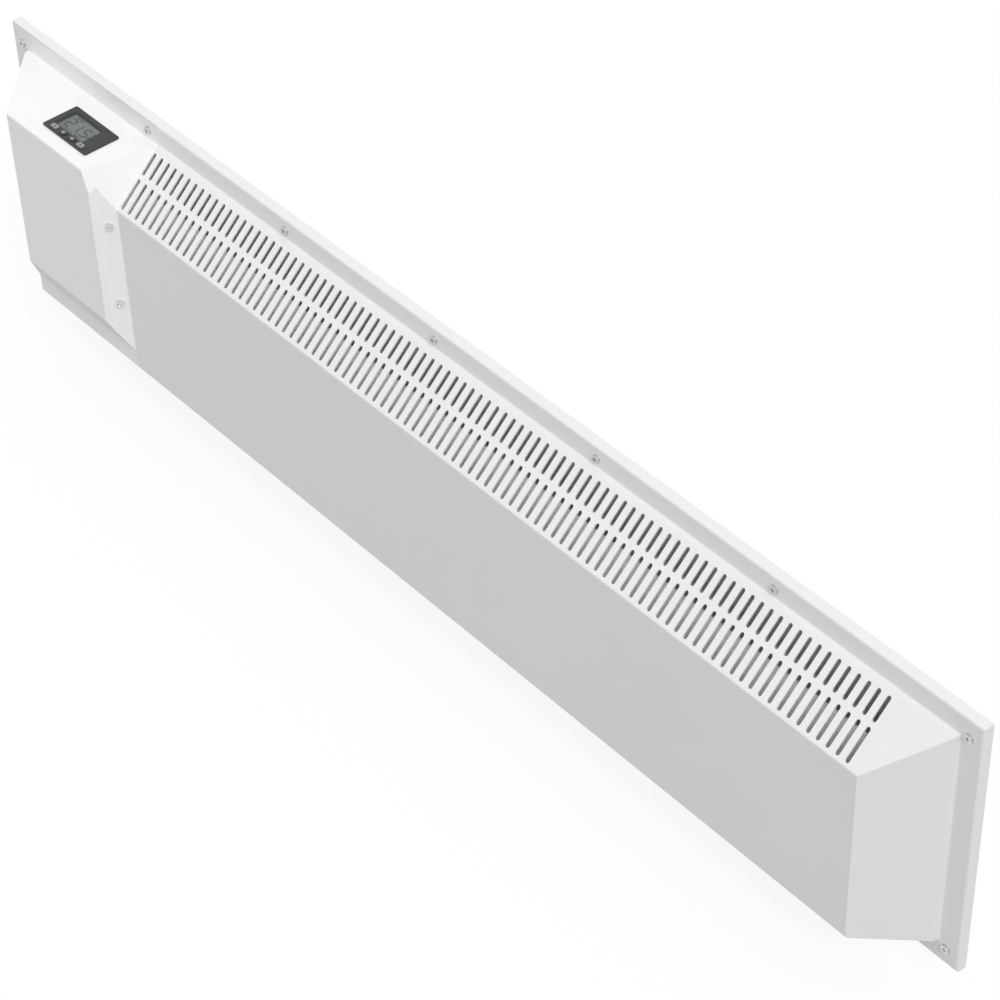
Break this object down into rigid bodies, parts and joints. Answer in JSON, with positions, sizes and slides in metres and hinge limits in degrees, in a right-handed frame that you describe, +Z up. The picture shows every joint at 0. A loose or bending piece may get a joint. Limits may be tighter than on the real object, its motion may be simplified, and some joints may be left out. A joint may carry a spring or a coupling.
{
  "type": "skirting heater",
  "caption": "Long low wall heater: flanged steel casing with a slotted sloping top, a mitred end, and a deeper control cover with a display and keys in its flat top.",
  "frame": {"origin": "middle of the four wall fixings, on the wall plane", "axes": "+X along the heater to the right as seen from the room, +Y into the wall, +Z up"},
  "size_m": [1.2, 0.081, 0.27],
  "materials": {
    "casing_paint": "smooth white powder coat, satin",
    "cover_paint": "smooth white powder coat, satin",
    "zinc_steel": "zinc-coated sheet",
    "screw_steel": "zinc-plated screws",
    "casing_screw": "bright zinc-plated pan heads",
    "element_metal": "dull grey finned element",
    "bush_ceramic": "unglazed ceramic",
    "cutout_metal": "plated thermostat can",
    "bezel_plastic": "black moulded plastic",
    "window_glass": "clear window",
    "lcd_face": "grey-green liquid crystal glass",
    "key_light": "light grey key",
    "key_dark": "dark grey key",
    "board_green": "green circuit board",
    "switch_plastic": "black switch bodies",
    "relay_plastic": "blue relay case",
    "transformer_plastic": "yellow wrapped winding and core",
    "block_plastic": "natural nylon",
    "brass": "plain brass",
    "clamp_plastic": "black nylon",
    "rubber": "black rubber",
    "lead_brown": "brown heat-proof insulation",
    "lead_blue": "blue heat-proof insulation",
    "clip_nylon": "natural nylon",
    "ribbon_grey": "grey flat lead",
    "sensor_black": "black dipped bead and clip"
  },
  "bodies": {
    "base": {"front_panel": "casing_paint", "outlet_grille": "casing_paint", "right_end": "casing_paint", "left_end": "casing_paint", "control_cover": "cover_paint", "back_tray": "zinc_steel", "bulkhead": "zinc_steel", "element_brackets": "zinc_steel", "front_baffle": "zinc_steel", "board_pillars": "zinc_steel", "fixing_screws": "screw_steel", "board_screws": "screw_steel", "flange_screws": "casing_screw", "cover_screws": "casing_screw", "heating_element": "element_metal", "insulating_bushes": "bush_ceramic", "overheat_cutout": "cutout_metal", "display_bezel": "bezel_plastic", "display_window": "window_glass", "lcd_panel": "lcd_face", "display_board": "board_green", "power_board": "board_green", "tact_switches": "switch_plastic", "relay": "relay_plastic", "transformer": "transformer_plastic", "terminal_block": "block_plastic", "terminal_screws": "brass", "earth_stud": "brass", "cable_clamp": "clamp_plastic", "cable_grommet": "rubber", "wire_grommet": "rubber", "near_lead": "lead_brown", "far_lead": "lead_blue", "lead_clips": "clip_nylon", "display_lead": "ribbon_grey", "room_sensor": "sensor_black"},
    "key_down": {"key_down": "key_light"},
    "key_menu": {"key_menu": "key_dark"},
    "key_mode": {"key_mode": "key_dark"},
    "key_up": {"key_up": "key_light"}
  },
  "joints": [
    {"name": "key_down_press", "type": "slide", "parent": "base", "child": "key_down", "axis": [0, 0, -1], "range_m": [0, 0.0006], "stiffness_N_per_m": 800},
    {"name": "key_menu_press", "type": "slide", "parent": "base", "child": "key_menu", "axis": [0, 0, -1], "range_m": [0, 0.0006], "stiffness_N_per_m": 800},
    {"name": "key_mode_press", "type": "slide", "parent": "base", "child": "key_mode", "axis": [0, 0, -1], "range_m": [0, 0.0006], "stiffness_N_per_m": 800},
    {"name": "key_up_press", "type": "slide", "parent": "base", "child": "key_up", "axis": [0, 0, -1], "range_m": [0, 0.0006], "stiffness_N_per_m": 800}
  ]
}
